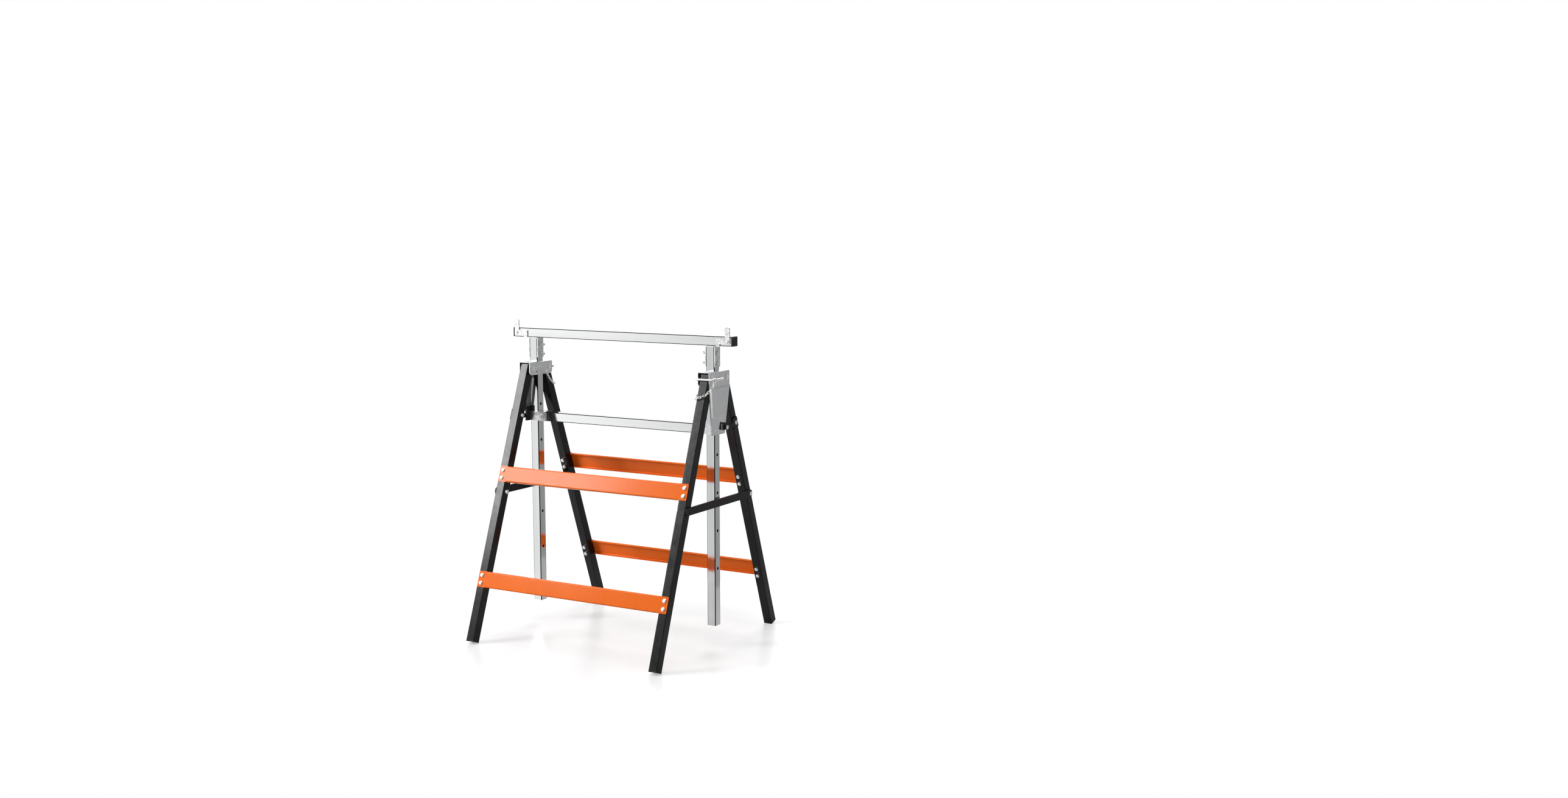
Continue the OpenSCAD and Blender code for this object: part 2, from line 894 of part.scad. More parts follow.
// Chain from the pin's bridge round the front leg to its anchor on the inner plate
link_pitch = link_l - 2 * link_wire - link_slack;
anchor_x = inner_out_x - anchor_eye_r - link_wire;
anchor_z = pivot_z - anchor_drop;
ring_y = pin_prong_y - pin_bend_r - ring_from_bend;
ring_z = pivot_z - ring_r + link_wire / 2 + pin_r + clear;
link_hook = link_wire + clear - (link_l - link_wire - link_pitch) / 2;
side_gap = link_w / 2 + clear;
route_low_z = pivot_z - chain_drop;
route_high_z = route_low_z + chain_fall;
route_mid_z = (route_low_z + route_high_z) / 2;
route_start_z = (pivot_z - ring_r + route_high_z) / 2;
function leg_front_at(z) = leg_front_y + (pivot_z - z) * tan(leg_lean);
turn_gap = link_w;
chain_route = [
    [pin_bridge_x, -ring_y, ring_z - ring_r + link_hook],
    [(pin_bridge_x + shield_out_x + side_gap) / 2, -half_w - link_wire / 2, route_start_z],
    [leg_out_x + side_gap + link_wire, -leg_front_at(route_high_z) + turn_gap / 2, route_high_z + turn_gap],
    [leg_out_x + link_wire, -leg_front_at(route_high_z) - turn_gap / 2, route_high_z],
    [leg_x, -leg_front_at(route_mid_z) - turn_gap, route_mid_z],
    [leg_in_x - link_wire, -leg_front_at(route_low_z) - turn_gap / 2, route_low_z],
    [inner_out_x - side_gap, -half_w, route_low_z + 2 * link_wire],
    [anchor_x, -anchor_y - link_l, (anchor_z + route_low_z) / 2],
    [anchor_x, -anchor_y, anchor_z - anchor_eye_r + link_hook]
];

// Smooth curve through the route's points
function route_at(i) = chain_route[max(0, min(len(chain_route) - 1, i))];
function curve_point(i, t) =
    let (a = route_at(i - 1), b = route_at(i), c = route_at(i + 1), d = route_at(i + 2))
    (2 * b + (c - a) * t + (2 * a - 5 * b + 4 * c - d) * t * t
        + (3 * b - a - 3 * c + d) * t * t * t) / 2;
curve_steps = 12;
curve = [
    for (i = [0 : len(chain_route) - 2], s = [0 : curve_steps - 1])
        curve_point(i, s / curve_steps),
    chain_route[len(chain_route) - 1]
];
function run_to(i, n = 0, sum = 0) =
    n >= i ? sum : run_to(i, n + 1, sum + norm(curve[n + 1] - curve[n]));
curve_l = run_to(len(curve) - 1);
function point_at(want, n = 0, sum = 0) =
    let (step = norm(curve[n + 1] - curve[n]))
    n >= len(curve) - 2 || sum + step >= want
        ? curve[n] + (curve[n + 1] - curve[n]) * (want - sum) / step
        : point_at(want, n + 1, sum + step);
link_count = 2 * ceil((curve_l / link_pitch - 1) / 2) + 1;

// Chain link along +X: two straights and two half rings
module chain_link() {
    r = (link_w - link_wire) / 2;
    straight = link_l - link_w;
    for (y = [-r, r])
        translate([-straight / 2, y, 0])
            rotate([0, 90, 0])
                cylinder(d = link_wire, h = straight, $fn = 16);
    for (turn = [0, 180])
        rotate([0, 0, turn])
            translate([straight / 2, 0, 0])
                rotate([0, 0, -90])
                    rotate_extrude(angle = 180)
                        translate([r, 0])
                            circle(d = link_wire, $fn = 16);
}

module right_pin_chain() {
    color(bright) {
        translate([pin_bridge_x, -ring_y, ring_z])
            rotate([90, 0, 0])
                rotate_extrude()
                    translate([ring_r, 0])
                        circle(d = link_wire, $fn = 16);
        for (k = [0 : link_count - 1]) {
            a = point_at(k * curve_l / link_count);
            b = point_at((k + 1) * curve_l / link_count);
            v = b - a;
            translate((a + b) / 2)
                rotate([0, -atan2(v[2], norm([v[0], v[1]])), atan2(v[1], v[0])])
                    rotate([(k + 1) % 2 * 90, 0, 0])
                        chain_link();
        }
    }
}

module left_pin_chain() {
    half_turn()
        right_pin_chain();
}

module chain_anchors() {
    color(bright)
        for (turn = [0, 180])
            rotate([0, 0, turn])
                translate([0, -anchor_y, anchor_z]) {
                    x_rod(anchor_hole_d - 2 * bolt_fit, inner_out_x - link_wire, inner_face_x);
                    translate([anchor_x, 0, 0])
                        rotate([90, 0, 0])
                            rotate_extrude()
                                translate([anchor_eye_r, 0])
                                    circle(d = link_wire, $fn = 16);
                }
}

// Leg frames, drawn as the rear one: the pivot is the origin and the leg goes down

module rear_frame() {
    translate([0, pivot_y, pivot_z])
        rotate([leg_lean, 0, 0])
            children();
}

module front_frame() {
    half_turn()
        rear_frame()
            children();
}

module brace_bolt_places(s) {
    for (step = [-1, 1])
        translate([0, 0, step * brace_bolt_gap / 2 - s])
            children();
}

// Leg at side +1 carries the leg bracket and the stay's bolt, at side -1 the hook stud
module leg(side) {
    tube_l = leg_l - foot_sole;
    color(black)
        difference() {
            translate([side * leg_x, 0, -tube_l])
                square_tube(tube_l + leg_top, leg_size, leg_wall, leg_edge_r);
            translate([side * leg_x, 0, 0])
                x_rod(pivot_d + 2 * run_fit, -leg_size, leg_size);
            for (s = [upper_brace_s, lower_brace_s])
                brace_bolt_places(s)
                    translate([side * leg_x, 0, 0])
                        y_rod(bolt_d + 2 * bolt_fit, -leg_size, leg_size);
            translate([side * leg_x, 0, -stay_s])
                x_rod(stay_pin_d + 2 * bolt_fit, -leg_size, leg_size);
            if (side > 0)
                translate([leg_x, 0, -nose_r])
                    x_rod(bolt_d + 2 * bolt_fit, -leg_size, leg_size);
        }
}

module brace(s) {
    depth = 2 * brace_flange;
    inner_r = brace_bend_r - brace_t;
    flange_l = 2 * (leg_in_x - flange_gap);
    full_l = 2 * (leg_out_x - brace_inset);
    out_y = leg_size / 2 + brace_t;
    color(orange)
        difference() {
            union() {
                yz_plate(-flange_l / 2, flange_l / 2)
                    translate([out_y - brace_flange, -s])
                        difference() {
                            rounded_box(depth, brace_h, brace_bend_r);
                            rounded_box(depth - 2 * brace_t, brace_h - 2 * brace_t, inner_r);
                            translate([-depth, -brace_h])
                                square([depth, 2 * brace_h]);
                        }
                translate([0, out_y, -s])
                    rotate([90, 0, 0])
                        linear_extrude(brace_t)
                            difference() {
                                rounded_box(full_l, brace_h, brace_corner_r);
                                square([flange_l - 2 * flange_gap, brace_h + 2 * over], center = true);
                            }
            }
            for (x = [-leg_x, leg_x])
                translate([x, 0, 0])
                    brace_bolt_places(s)
                        y_rod(bolt_d + 2 * bolt_fit, 0, out_y + over);
        }
}

module brace_fixings() {
    for (s = [upper_brace_s, lower_brace_s], x = [-leg_x, leg_x])
        brace_bolt_places(s)
            translate([x, 0, 0])
                children();
}

module brace_bolts() {
    out_y = leg_size / 2 + brace_t;
    color(bright)
        brace_fixings()
            translate([0, out_y, 0])
                rotate([-90, 0, 0])
                    round_bolt(out_y + leg_size / 2 + nut_h + bolt_tail);
}

module brace_nuts() {
    color(bright)
        brace_fixings()
            translate([0, -leg_size / 2, 0])
                rotate([90, 0, 0])
                    hex_nut(nut_d, nut_h, bolt_d);
}

module foot_plugs() {
    color(plastic)
        for (x = [-leg_x, leg_x])
            translate([x, 0, -leg_l])
                tube_plug(leg_size, leg_wall, leg_edge_r, foot_sole, foot_plug);
}

// Leg bracket: a pad on the leg's outer face and a curved nose that runs in the shield's notch
module leg_bracket() {
    nose_a = leg_lean + nose_tip_a;
    bolt_a = asin((pivot_y - nose_tip_y - nose_bolt_in) / nose_r) + leg_lean;
    color(black)
        difference() {
            union() {
                yz_plate(nose_x, nose_out_x)
                    pivot_sector(nose_high_r, nose_low_r, nose_a, 0);
                yz_plate(leg_out_x, nose_out_x)
                    translate([0, -nose_r])
                        rounded_box(bracket_pad_w, bracket_pad_h, bracket_pad_r);
            }
            translate([0, 0, -nose_r])
                x_rod(bolt_d + 2 * bolt_fit, leg_out_x - over, nose_out_x + over);
            translate([0, -nose_r * sin(bolt_a), -nose_r * cos(bolt_a)])
                x_rod(bolt_d + 2 * bolt_fit, leg_out_x - over, nose_out_x + over);
        }
}

module bracket_bolts() {
    bolt_a = asin((pivot_y - nose_tip_y - nose_bolt_in) / nose_r) + leg_lean;
    color(bright) {
        translate([nose_out_x, 0, -nose_r])
            rotate([0, 90, 0])
                round_bolt(nose_out_x - leg_in_x + nut_h + bolt_tail);
        translate([nose_out_x, -nose_r * sin(bolt_a), -nose_r * cos(bolt_a)])
            rotate([0, 90, 0])
                round_bolt(bracket_t);
    }
}

module bracket_nut() {
    color(bright)
        translate([leg_in_x, 0, -nose_r])
            rotate([0, -90, 0])
                hex_nut(nut_d, nut_h, bolt_d);
}

// Bolt across a leg along +X as far as end_x, with a collar outside the leg and a nut inside
module cross_bolt(end_x) {
    x_rod(stay_pin_d, leg_in_x - nut_h - bolt_tail, end_x);
    x_rod(stay_nut_d, leg_out_x, stay_x - clear);
    translate([leg_in_x, 0, 0])
        rotate([0, -90, 0])
            cylinder(d = stay_nut_d, h = nut_h, $fn = 6);
}

module stay_bolt() {
    head_x = stay_out_x + clear;
    color(bright)
        translate([0, 0, -stay_s]) {
            cross_bolt(head_x + stay_head_h / 2);
            translate([head_x, 0, 0])
                rotate([0, 90, 0])
                    rivet_head(stay_head_d, stay_head_h);
        }
}

module hook_stud() {
    color(bright)
        translate([0, 0, -stay_s])
            half_turn()
                cross_bolt(stay_out_x - stay_web - clear);
}

module front_left_leg() {
    front_frame()
        leg(1);
}

module front_right_leg() {
    front_frame()
        leg(-1);
}

module rear_left_leg() {
    rear_frame()
        leg(-1);
}

module rear_right_leg() {
    rear_frame()
        leg(1);
}

module front_upper_brace() {
    front_frame()
        brace(upper_brace_s);
}

module front_lower_brace() {
    front_frame()
        brace(lower_brace_s);
}

module rear_upper_brace() {
    rear_frame()
        brace(upper_brace_s);
}

module rear_lower_brace() {
    rear_frame()
        brace(lower_brace_s);
}

module front_brace_bolts() {
    front_frame()
        brace_bolts();
}

module rear_brace_bolts() {
    rear_frame()
        brace_bolts();
}

module front_brace_nuts() {
    front_frame()
        brace_nuts();
}

module rear_brace_nuts() {
    rear_frame()
        brace_nuts();
}

module front_foot_plugs() {
    front_frame()
        foot_plugs();
}

module rear_foot_plugs() {
    rear_frame()
        foot_plugs();
}

module front_leg_bracket() {
    front_frame()
        leg_bracket();
}

module rear_leg_bracket() {
    rear_frame()
        leg_bracket();
}

module front_bracket_bolts() {
    front_frame()
        bracket_bolts();
}

module rear_bracket_bolts() {
    rear_frame()
        bracket_bolts();
}

module front_bracket_nut() {
    front_frame()
        bracket_nut();
}

module rear_bracket_nut() {
    rear_frame()
        bracket_nut();
}

module front_hook_stud() {
    front_frame()
        hook_stud();
}

module rear_hook_stud() {
    rear_frame()
        hook_stud();
}

module front_stay_bolt() {
    front_frame()
        stay_bolt();
}

module rear_stay_bolt() {
    rear_frame()
        stay_bolt();
}

// Stay: a bar that turns on a bolt of the rear leg and hooks over a stud of the front leg,
// with the hook's throat open downwards behind the bar's outer wall
module right_stay() {
    low = -stay_h / 2;
    color(black)
        translate([0, 0, stay_z])
            difference() {
                yz_plate(stay_x, stay_out_x)
                    difference() {
                        translate([(stay_tail - stay_end) / 2, 0])
                            rounded_box(2 * stay_y + stay_end + stay_tail, stay_h, stay_h / 3);
                        translate([stay_y, 0])
                            circle(d = stay_pin_d + 2 * run_fit);
                    }
                yz_plate(stay_x - over, stay_out_x - stay_web)
                    union() {
                        translate([-stay_y, 0])
                            circle(stud_r);
                        polygon([
                            [-stay_y - stud_r, 0],
                            [-stay_y, stud_r],
                            [-stay_y + throat_l, low],
                            [-stay_y + throat_l, low - over],
                            [-stay_y - stud_r, low - over]
                        ]);
                    }
            }
}

module left_stay() {
    half_turn()
        right_stay();
}

top_bar();
bar_end_caps();
left_tube();
right_tube();
left_saddle();
right_saddle();
saddle_bolts();
saddle_nuts();
stop_rivets();
left_stop();
right_stop();
left_head();
right_head();
crossbar();
left_guide();
right_guide();
guide_rear_straps();
guide_blocks();
guide_bolts();
guide_nuts();
guide_rivets();
leg_pivot_rivets();
pivot_spacers();
chain_anchors();
left_pin_chain();
right_pin_chain();
left_lock_pin();
right_lock_pin();
front_left_leg();
front_right_leg();
rear_left_leg();
rear_right_leg();
front_upper_brace();
front_lower_brace();
rear_upper_brace();
rear_lower_brace();
front_brace_bolts();
rear_brace_bolts();
front_brace_nuts();
rear_brace_nuts();
front_foot_plugs();
rear_foot_plugs();
front_leg_bracket();
rear_leg_bracket();
front_bracket_bolts();
rear_bracket_bolts();
front_bracket_nut();
rear_bracket_nut();
front_hook_stud();
rear_hook_stud();
front_stay_bolt();
rear_stay_bolt();
left_stay();
right_stay();
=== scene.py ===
"""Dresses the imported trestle: camera, studio, finishes, edge rounding, chains and weld beads.

Metres, in the part's own frame: +X along the top bar, -Y to the front, +Z up.
"""
import json
import math

import bmesh
import bpy
from mathutils import Matrix, Vector


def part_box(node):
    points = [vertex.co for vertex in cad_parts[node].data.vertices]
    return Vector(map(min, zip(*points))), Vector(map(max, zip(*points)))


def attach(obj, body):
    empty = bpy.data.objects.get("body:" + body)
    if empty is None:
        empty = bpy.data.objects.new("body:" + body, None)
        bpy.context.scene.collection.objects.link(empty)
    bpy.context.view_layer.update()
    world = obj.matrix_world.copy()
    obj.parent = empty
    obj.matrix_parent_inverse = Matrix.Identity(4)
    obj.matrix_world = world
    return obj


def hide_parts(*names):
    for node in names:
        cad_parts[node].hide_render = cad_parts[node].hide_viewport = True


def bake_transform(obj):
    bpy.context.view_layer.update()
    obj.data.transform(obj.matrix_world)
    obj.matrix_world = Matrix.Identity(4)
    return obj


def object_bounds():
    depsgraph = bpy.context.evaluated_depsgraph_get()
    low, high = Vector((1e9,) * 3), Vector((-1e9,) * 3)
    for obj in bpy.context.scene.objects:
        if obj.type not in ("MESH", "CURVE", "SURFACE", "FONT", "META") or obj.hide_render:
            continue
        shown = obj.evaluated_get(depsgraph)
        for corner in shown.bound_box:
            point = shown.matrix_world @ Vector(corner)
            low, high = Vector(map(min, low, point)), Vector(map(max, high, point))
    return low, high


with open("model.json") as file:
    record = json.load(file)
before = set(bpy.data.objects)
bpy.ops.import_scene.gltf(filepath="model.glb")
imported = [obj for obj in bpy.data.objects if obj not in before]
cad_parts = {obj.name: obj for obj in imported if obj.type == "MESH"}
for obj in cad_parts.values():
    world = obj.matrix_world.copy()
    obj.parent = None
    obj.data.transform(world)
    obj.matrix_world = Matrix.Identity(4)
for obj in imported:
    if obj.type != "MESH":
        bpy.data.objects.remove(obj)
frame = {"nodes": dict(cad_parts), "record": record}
CAD_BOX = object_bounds()
NODES = frame["nodes"]
SLOT_OF = {s["node"]: s["material_slot"] for s in frame["record"]["subparts"]}
SIDES = ("left", "right")
MM = 0.001

# Camera, as fitted to the photograph; angles in degrees
PHOTO_W = 2576
SENSOR = 36.0
FOCAL_PX = 2593.94
CAMERA_YAW = 29.272
CAMERA_TILT = 6.728
CAMERA_AT = (2.4279, -3.4459, 1.1351)

# Floor; the lift is a glow for the camera, which grows from the middle to the edge
FLOOR_SIZE = 1.3
FLOOR_DROP = 0.05 * MM
FLOOR_GREY = 0.54
FLOOR_ROUGH, FLOOR_GLOSS = 0.28, 0.22
FLOOR_LIFT, EDGE_LIFT, FLOOR_SHEEN = 0.37, 0.64, 0.05
LIFT_FROM, LIFT_TO = 0.34, 0.64

# World; the share of its light that is left towards one side and overhead
WORLD_LIGHT = 0.55
DIM_SIDE = math.radians(-25)
SIDE_DIM, SIDE_FROM, SIDE_TO = 0.34, -0.24, 0.05
ABOVE_DIM, ABOVE_FROM, ABOVE_TO = 0.22, 0.25, 0.65

# Square lamps: place, side and watts
KEY_AT, KEY_SIZE, KEY_POWER = (-2.75, -2.61, 2.20), 1.48, 125.0
TOP_AT, TOP_SIZE, TOP_POWER = (0.2, -1.0, 3.6), 2.4, 60.0
RIGHT_AT, RIGHT_SIZE, RIGHT_POWER = (2.79, -0.80, 0.88), 1.2, 7.0
BACK_AT, BACK_SIZE, BACK_POWER = (-0.9, 2.7, 3.0), 1.5, 65.0
AIM = (0.0, 0.0, 0.45)


def make_camera():
    yaw, tilt = math.radians(CAMERA_YAW), math.radians(CAMERA_TILT)
    level = math.cos(tilt)
    ahead = Vector((-math.sin(yaw) * level, math.cos(yaw) * level, -math.sin(tilt)))
    right = Vector((math.cos(yaw), math.sin(yaw), 0))
    up = right.cross(ahead)
    data = bpy.data.cameras.new("camera")
    data.sensor_fit = "HORIZONTAL"
    data.sensor_width = SENSOR
    data.lens = FOCAL_PX * SENSOR / PHOTO_W
    camera = bpy.data.objects.new("camera", data)
    axes = Matrix((right, up, -ahead)).transposed()
    camera.matrix_world = Matrix.Translation(CAMERA_AT) @ axes.to_4x4()
    bpy.context.scene.collection.objects.link(camera)
    bpy.context.scene.camera = camera


make_camera()
bpy.context.scene.view_settings.view_transform = "Standard"


# Node helpers

# Most of a noise lies between these
NOISE_LOW, NOISE_HIGH = 0.3, 0.7


class Nodes:
    """A node tree, with short calls for the nodes used here."""

    def __init__(self, tree):
        self.nodes = tree.nodes
        self.links = tree.links

    def add(self, kind, **values):
        node = self.nodes.new(kind)
        for key, value in values.items():
            setattr(node, key, value)
        return node

    def join(self, source, target):
        self.links.new(source, target)

    def coords(self, kind="Object"):
        """Coordinates of a kind; Object is the part's own metres."""
        return self.add("ShaderNodeTexCoord").outputs[kind]

    def axes(self, kind="Object"):
        """X, Y and Z of coordinates of a kind."""
        split = self.add("ShaderNodeSeparateXYZ")
        self.join(self.coords(kind), split.inputs["Vector"])
        return split.outputs

    def spread(self, source, low, high, start=NOISE_LOW, end=NOISE_HIGH, **values):
        """source between start and end, as a number between low and high."""
        node = self.add("ShaderNodeMapRange", **values)
        limits = {"From Min": start, "From Max": end, "To Min": low, "To Max": high}
        for key, value in limits.items():
            node.inputs[key].default_value = value
        self.join(source, node.inputs["Value"])
        return node.outputs["Result"]

    def sums(self, operation, first, second=None):
        node = self.add("ShaderNodeMath", operation=operation)
        for socket, value in zip(node.inputs, (first, second)):
            if isinstance(value, float):
                socket.default_value = value
            elif value is not None:
                self.join(value, socket)
        return node.outputs["Value"]


class Tree(Nodes):
    """The node tree of a new material."""

    def __init__(self, name):
        self.material = bpy.data.materials.new(name)
        self.material.use_nodes = True
        super().__init__(self.material.node_tree)
        self.shader = self.nodes["Principled BSDF"]
        self.output = self.nodes["Material Output"]

    def place(self, stretch=(1, 1, 1)):
        """Object coordinates, stretched."""
        mapping = self.add("ShaderNodeMapping")
        mapping.inputs["Scale"].default_value = stretch
        self.join(self.coords(), mapping.inputs["Vector"])
        return mapping.outputs["Vector"]

    def noise(self, scale, detail=4, rough=0.55, stretch=(1, 1, 1)):
        node = self.add("ShaderNodeTexNoise")
        node.inputs["Scale"].default_value = scale
        node.inputs["Detail"].default_value = detail
        node.inputs["Roughness"].default_value = rough
        self.join(self.place(stretch), node.inputs["Vector"])
        return node.outputs["Fac"]

    def cells(self, scale):
        """A number of its own for each cell."""
        node = self.add("ShaderNodeTexVoronoi")
        node.inputs["Scale"].default_value = scale
        self.join(self.place(), node.inputs["Vector"])
        split = self.add("ShaderNodeSeparateColor")
        self.join(node.outputs["Color"], split.inputs["Color"])
        return split.outputs["Red"]

    def between(self, first, second):
        """Zero on a face that looks along one of two axes, and a half midway between them."""
        facing = self.axes("Normal")
        return self.sums("ABSOLUTE", self.sums("MULTIPLY", facing[first], facing[second]))

    def blend(self, source, dark, light, start=NOISE_LOW, end=NOISE_HIGH):
        """source as a colour between dark and light."""
        node = self.add("ShaderNodeValToRGB")
        ends = node.color_ramp.elements
        ends[0].position, ends[1].position = start, end
        ends[0].color, ends[1].color = (*dark, 1), (*light, 1)
        self.join(source, node.inputs["Fac"])
        return node.outputs["Color"]

    def mix(self, factor, first, second):
        node = self.add("ShaderNodeMix", data_type="RGBA")
        if isinstance(factor, float):
            node.inputs["Factor"].default_value = factor
        else:
            self.join(factor, node.inputs["Factor"])
        for key, value in (("A", first), ("B", second)):
            socket = next(i for i in node.inputs if i.name == key and i.type == "RGBA")
            if isinstance(value, tuple):
                socket.default_value = (*value, 1)
            else:
                self.join(value, socket)
        return next(o for o in node.outputs if o.type == "RGBA")

    def bump(self, source, strength, depth, before=None):
        node = self.add("ShaderNodeBump")
        node.inputs["Strength"].default_value = strength
        node.inputs["Distance"].default_value = depth
        self.join(source, node.inputs["Height"])
        if before is not None:
            self.join(before, node.inputs["Normal"])
        return node.outputs["Normal"]

    def finish(self, colour, rough, normal, **constants):
        """Joins what varies to the shader and sets what doesn't on its own sockets."""
        for key, value in (("Base Color", colour), ("Roughness", rough), ("Normal", normal)):
            self.join(value, self.shader.inputs[key])
        for key, value in constants.items():
            socket = key.replace("_", " ").title().replace("Ior", "IOR")
            self.shader.inputs[socket].default_value = value
        return self.material


# Finishes; a bump is its strength and depth, tints are dark and light

DRIFT_SCALE = 14
GLOSS_SCALE = 60
SWELL_SCALE, SWELL_BUMP = 160, (0.04, 0.4 * MM)
PEEL_SCALE, PEEL_BUMP = 900, (0.12, 0.15 * MM)


def powder_coat(name, dark, light, rough_low, rough_high, shine):
    """Powder-coated steel: a fine orange peel, slight colour drift and uneven gloss."""
    t = Tree(name)
    drift = t.noise(DRIFT_SCALE, detail=3)
    peel = t.noise(PEEL_SCALE, detail=2, rough=0.5)
    swell = t.noise(SWELL_SCALE, detail=2)
    normal = t.bump(swell, *SWELL_BUMP)
    normal = t.bump(peel, *PEEL_BUMP, normal)
    rough = t.spread(t.noise(GLOSS_SCALE, detail=5), rough_low, rough_high)
    return t.finish(t.blend(drift, dark, light), rough, normal, specular_ior_level=shine)


MARKS_ALONG, MARKS_ACROSS, MARKS_BUMP = 6, 700, (0.05, 0.1 * MM)
BANDS_ALONG, BANDS_ACROSS, BANDS_BUMP = 1.5, 90, (0.06, 0.5 * MM)
BANDS_SHARE = 0.5
TUBE_ROUGH = (0.05, 0.13)
# The corner tint is a painted shade: a near-black line along the tubes' corner radii
CORNER_PAINTED_SHADE, CORNER_ROUGH = (0.02, 0.02, 0.021), 0.45
CORNER_FROM, CORNER_TO = 0.01, 0.10


def plated_tube(name, along, dark, light):
    """Bright zinc-plated tube: draw marks along its length, wavy faces, and rougher corners with
    a painted dark shade line.
    """
    t = Tree(name)
    fine = tuple(MARKS_ALONG if axis == along else MARKS_ACROSS for axis in "XYZ")
    broad = tuple(BANDS_ALONG if axis == along else BANDS_ACROSS for axis in "XYZ")
    marks = t.noise(1, detail=6, rough=0.6, stretch=fine)
    bands = t.noise(1, detail=3, rough=0.5, stretch=broad)
    tint = t.mix(BANDS_SHARE, t.blend(marks, dark, light), t.blend(bands, dark, light))
    corner = t.between(*(axis for axis in "XYZ" if axis != along))
    # Painted shade: the corner radii are tinted near-black
    tint = t.mix(t.spread(corner, 0.0, 1.0, CORNER_FROM, CORNER_TO), tint, CORNER_PAINTED_SHADE)
    normal = t.bump(bands, *BANDS_BUMP)
    normal = t.bump(marks, *MARKS_BUMP, normal)
    rough = t.spread(corner, 0.0, CORNER_ROUGH, CORNER_FROM, CORNER_TO)
    rough = t.sums("ADD", rough, t.spread(marks, *TUBE_ROUGH))
    return t.finish(tint, rough, normal, metallic=1.0)


SATIN_CLOUD_SCALE = 38
SATIN_CLOUD_TINTS = (0.66, 0.67, 0.68), (0.84, 0.85, 0.86)
SATIN_GRAIN_STRETCH = (500, 500, 30)
SATIN_GRAIN_TINTS = (0.70, 0.71, 0.72), (0.86, 0.87, 0.88)
SATIN_GRAIN_SHARE, SATIN_GRAIN_BUMP = 0.4, (0.10, 0.1 * MM)
SATIN_ROUGH = (0.52, 0.64)
SLOPE_FROM, SLOPE_TO = 0.10, 0.30
# Pressed slopes get a painted highlight, a near-white tint, and less roughness
SLOPE_PAINTED_HIGHLIGHT, SLOPE_ROUGH = (0.98, 0.98, 0.98), -0.32
# Inside the heads' fold the zinc gets a painted shade: a near-black tint over this share
FOLD_SHADE_SHARE = 0.75
FOLD_PAINTED_SHADE = (0.05, 0.05, 0.052)
FOLD_SPARE_X, FOLD_SPARE_Z = 1.2 * MM, 1.0 * MM
FOLD_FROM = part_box("right_tube")[0].x - FOLD_SPARE_X
FOLD_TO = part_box("front_right_leg")[1].x + FOLD_SPARE_X
FOLD_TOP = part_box("right_head")[1].z - FOLD_SPARE_Z


def satin_zinc(name):
    """Satin zinc-plated sheet: cloudy, with a faint rolled grain.

    It has a painted shade inside the heads' fold, and a painted highlight with less roughness on
    pressed slopes.
    """
    t = Tree(name)
    cloud = t.noise(SATIN_CLOUD_SCALE, detail=5)
    grain = t.noise(1, rough=0.6, stretch=SATIN_GRAIN_STRETCH)
    tint = t.mix(SATIN_GRAIN_SHARE, t.blend(cloud, *SATIN_CLOUD_TINTS),
                 t.blend(grain, *SATIN_GRAIN_TINTS))
    at = t.axes()
    out = t.sums("ABSOLUTE", at["X"])
    in_fold_shade = t.sums("LESS_THAN", at["Z"], FOLD_TOP)
    in_fold_shade = t.sums("MULTIPLY", in_fold_shade, t.sums("GREATER_THAN", out, FOLD_FROM))
    in_fold_shade = t.sums("MULTIPLY", in_fold_shade, t.sums("LESS_THAN", out, FOLD_TO))
    # Painted shade inside the heads' fold
    tint = t.mix(t.sums("MULTIPLY", in_fold_shade, FOLD_SHADE_SHARE), tint, FOLD_PAINTED_SHADE)
    slope = t.between("X", "Y")
    # Painted highlight on the pressed slopes
    tint = t.mix(t.spread(slope, 0.0, 1.0, SLOPE_FROM, SLOPE_TO), tint, SLOPE_PAINTED_HIGHLIGHT)
    rough = t.spread(slope, 0.0, SLOPE_ROUGH, SLOPE_FROM, SLOPE_TO)
    rough = t.sums("ADD", rough, t.spread(cloud, *SATIN_ROUGH))
    return t.finish(tint, rough, t.bump(grain, *SATIN_GRAIN_BUMP), metallic=1.0)


SPANGLE_SCALE, SPANGLE_BUMP = 330, (0.08, 0.1 * MM)
SPANGLE_TINTS = (0.62, 0.63, 0.64), (0.86, 0.87, 0.88)
SPANGLE_ROUGH = (0.24, 0.46)
DULLING_SCALE, DULLING_SHARE = 60, 0.55
DULLING_TINTS = (0.62, 0.63, 0.64), (0.84, 0.84, 0.85)


def spangled_zinc(name):
    """Galvanised sheet: crystal spangle in pieces a few millimetres across."""
    t = Tree(name)
    spangle = t.cells(SPANGLE_SCALE)
    cloud = t.noise(DULLING_SCALE)
    tint = t.mix(DULLING_SHARE, t.blend(spangle, *SPANGLE_TINTS, 0.0, 1.0),
                 t.blend(cloud, *DULLING_TINTS))
    rough = t.spread(spangle, *SPANGLE_ROUGH, 0.0, 1.0)
    return t.finish(tint, rough, t.bump(spangle, *SPANGLE_BUMP), metallic=1.0)


ZINC_CLOUD_SCALE, ZINC_CLOUD_BUMP = 220, (0.03, 0.1 * MM)
ZINC_MARKS_SCALE = 500
BRIGHT_TINTS = (0.78, 0.78, 0.76), (0.95, 0.95, 0.93)
BRIGHT_ROUGH = (0.30, 0.44)


def bright_zinc(name):
    """Zinc-plated fasteners and wire: bright, with fine handling marks."""
    t = Tree(name)
    cloud = t.noise(ZINC_CLOUD_SCALE)
    rough = t.spread(t.noise(ZINC_MARKS_SCALE), *BRIGHT_ROUGH)
    normal = t.bump(cloud, *ZINC_CLOUD_BUMP)
    return t.finish(t.blend(cloud, *BRIGHT_TINTS), rough, normal, metallic=1.0)


THREAD_PITCH, THREAD_BUMP = 1.0 * MM, (0.9, 0.25 * MM)
THREAD_TINTS = (0.66, 0.66, 0.64), (0.90, 0.90, 0.88)
THREAD_ROUGH = (0.20, 0.38)
SADDLE_INNER_X = min(abs(v.x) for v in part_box("right_saddle"))


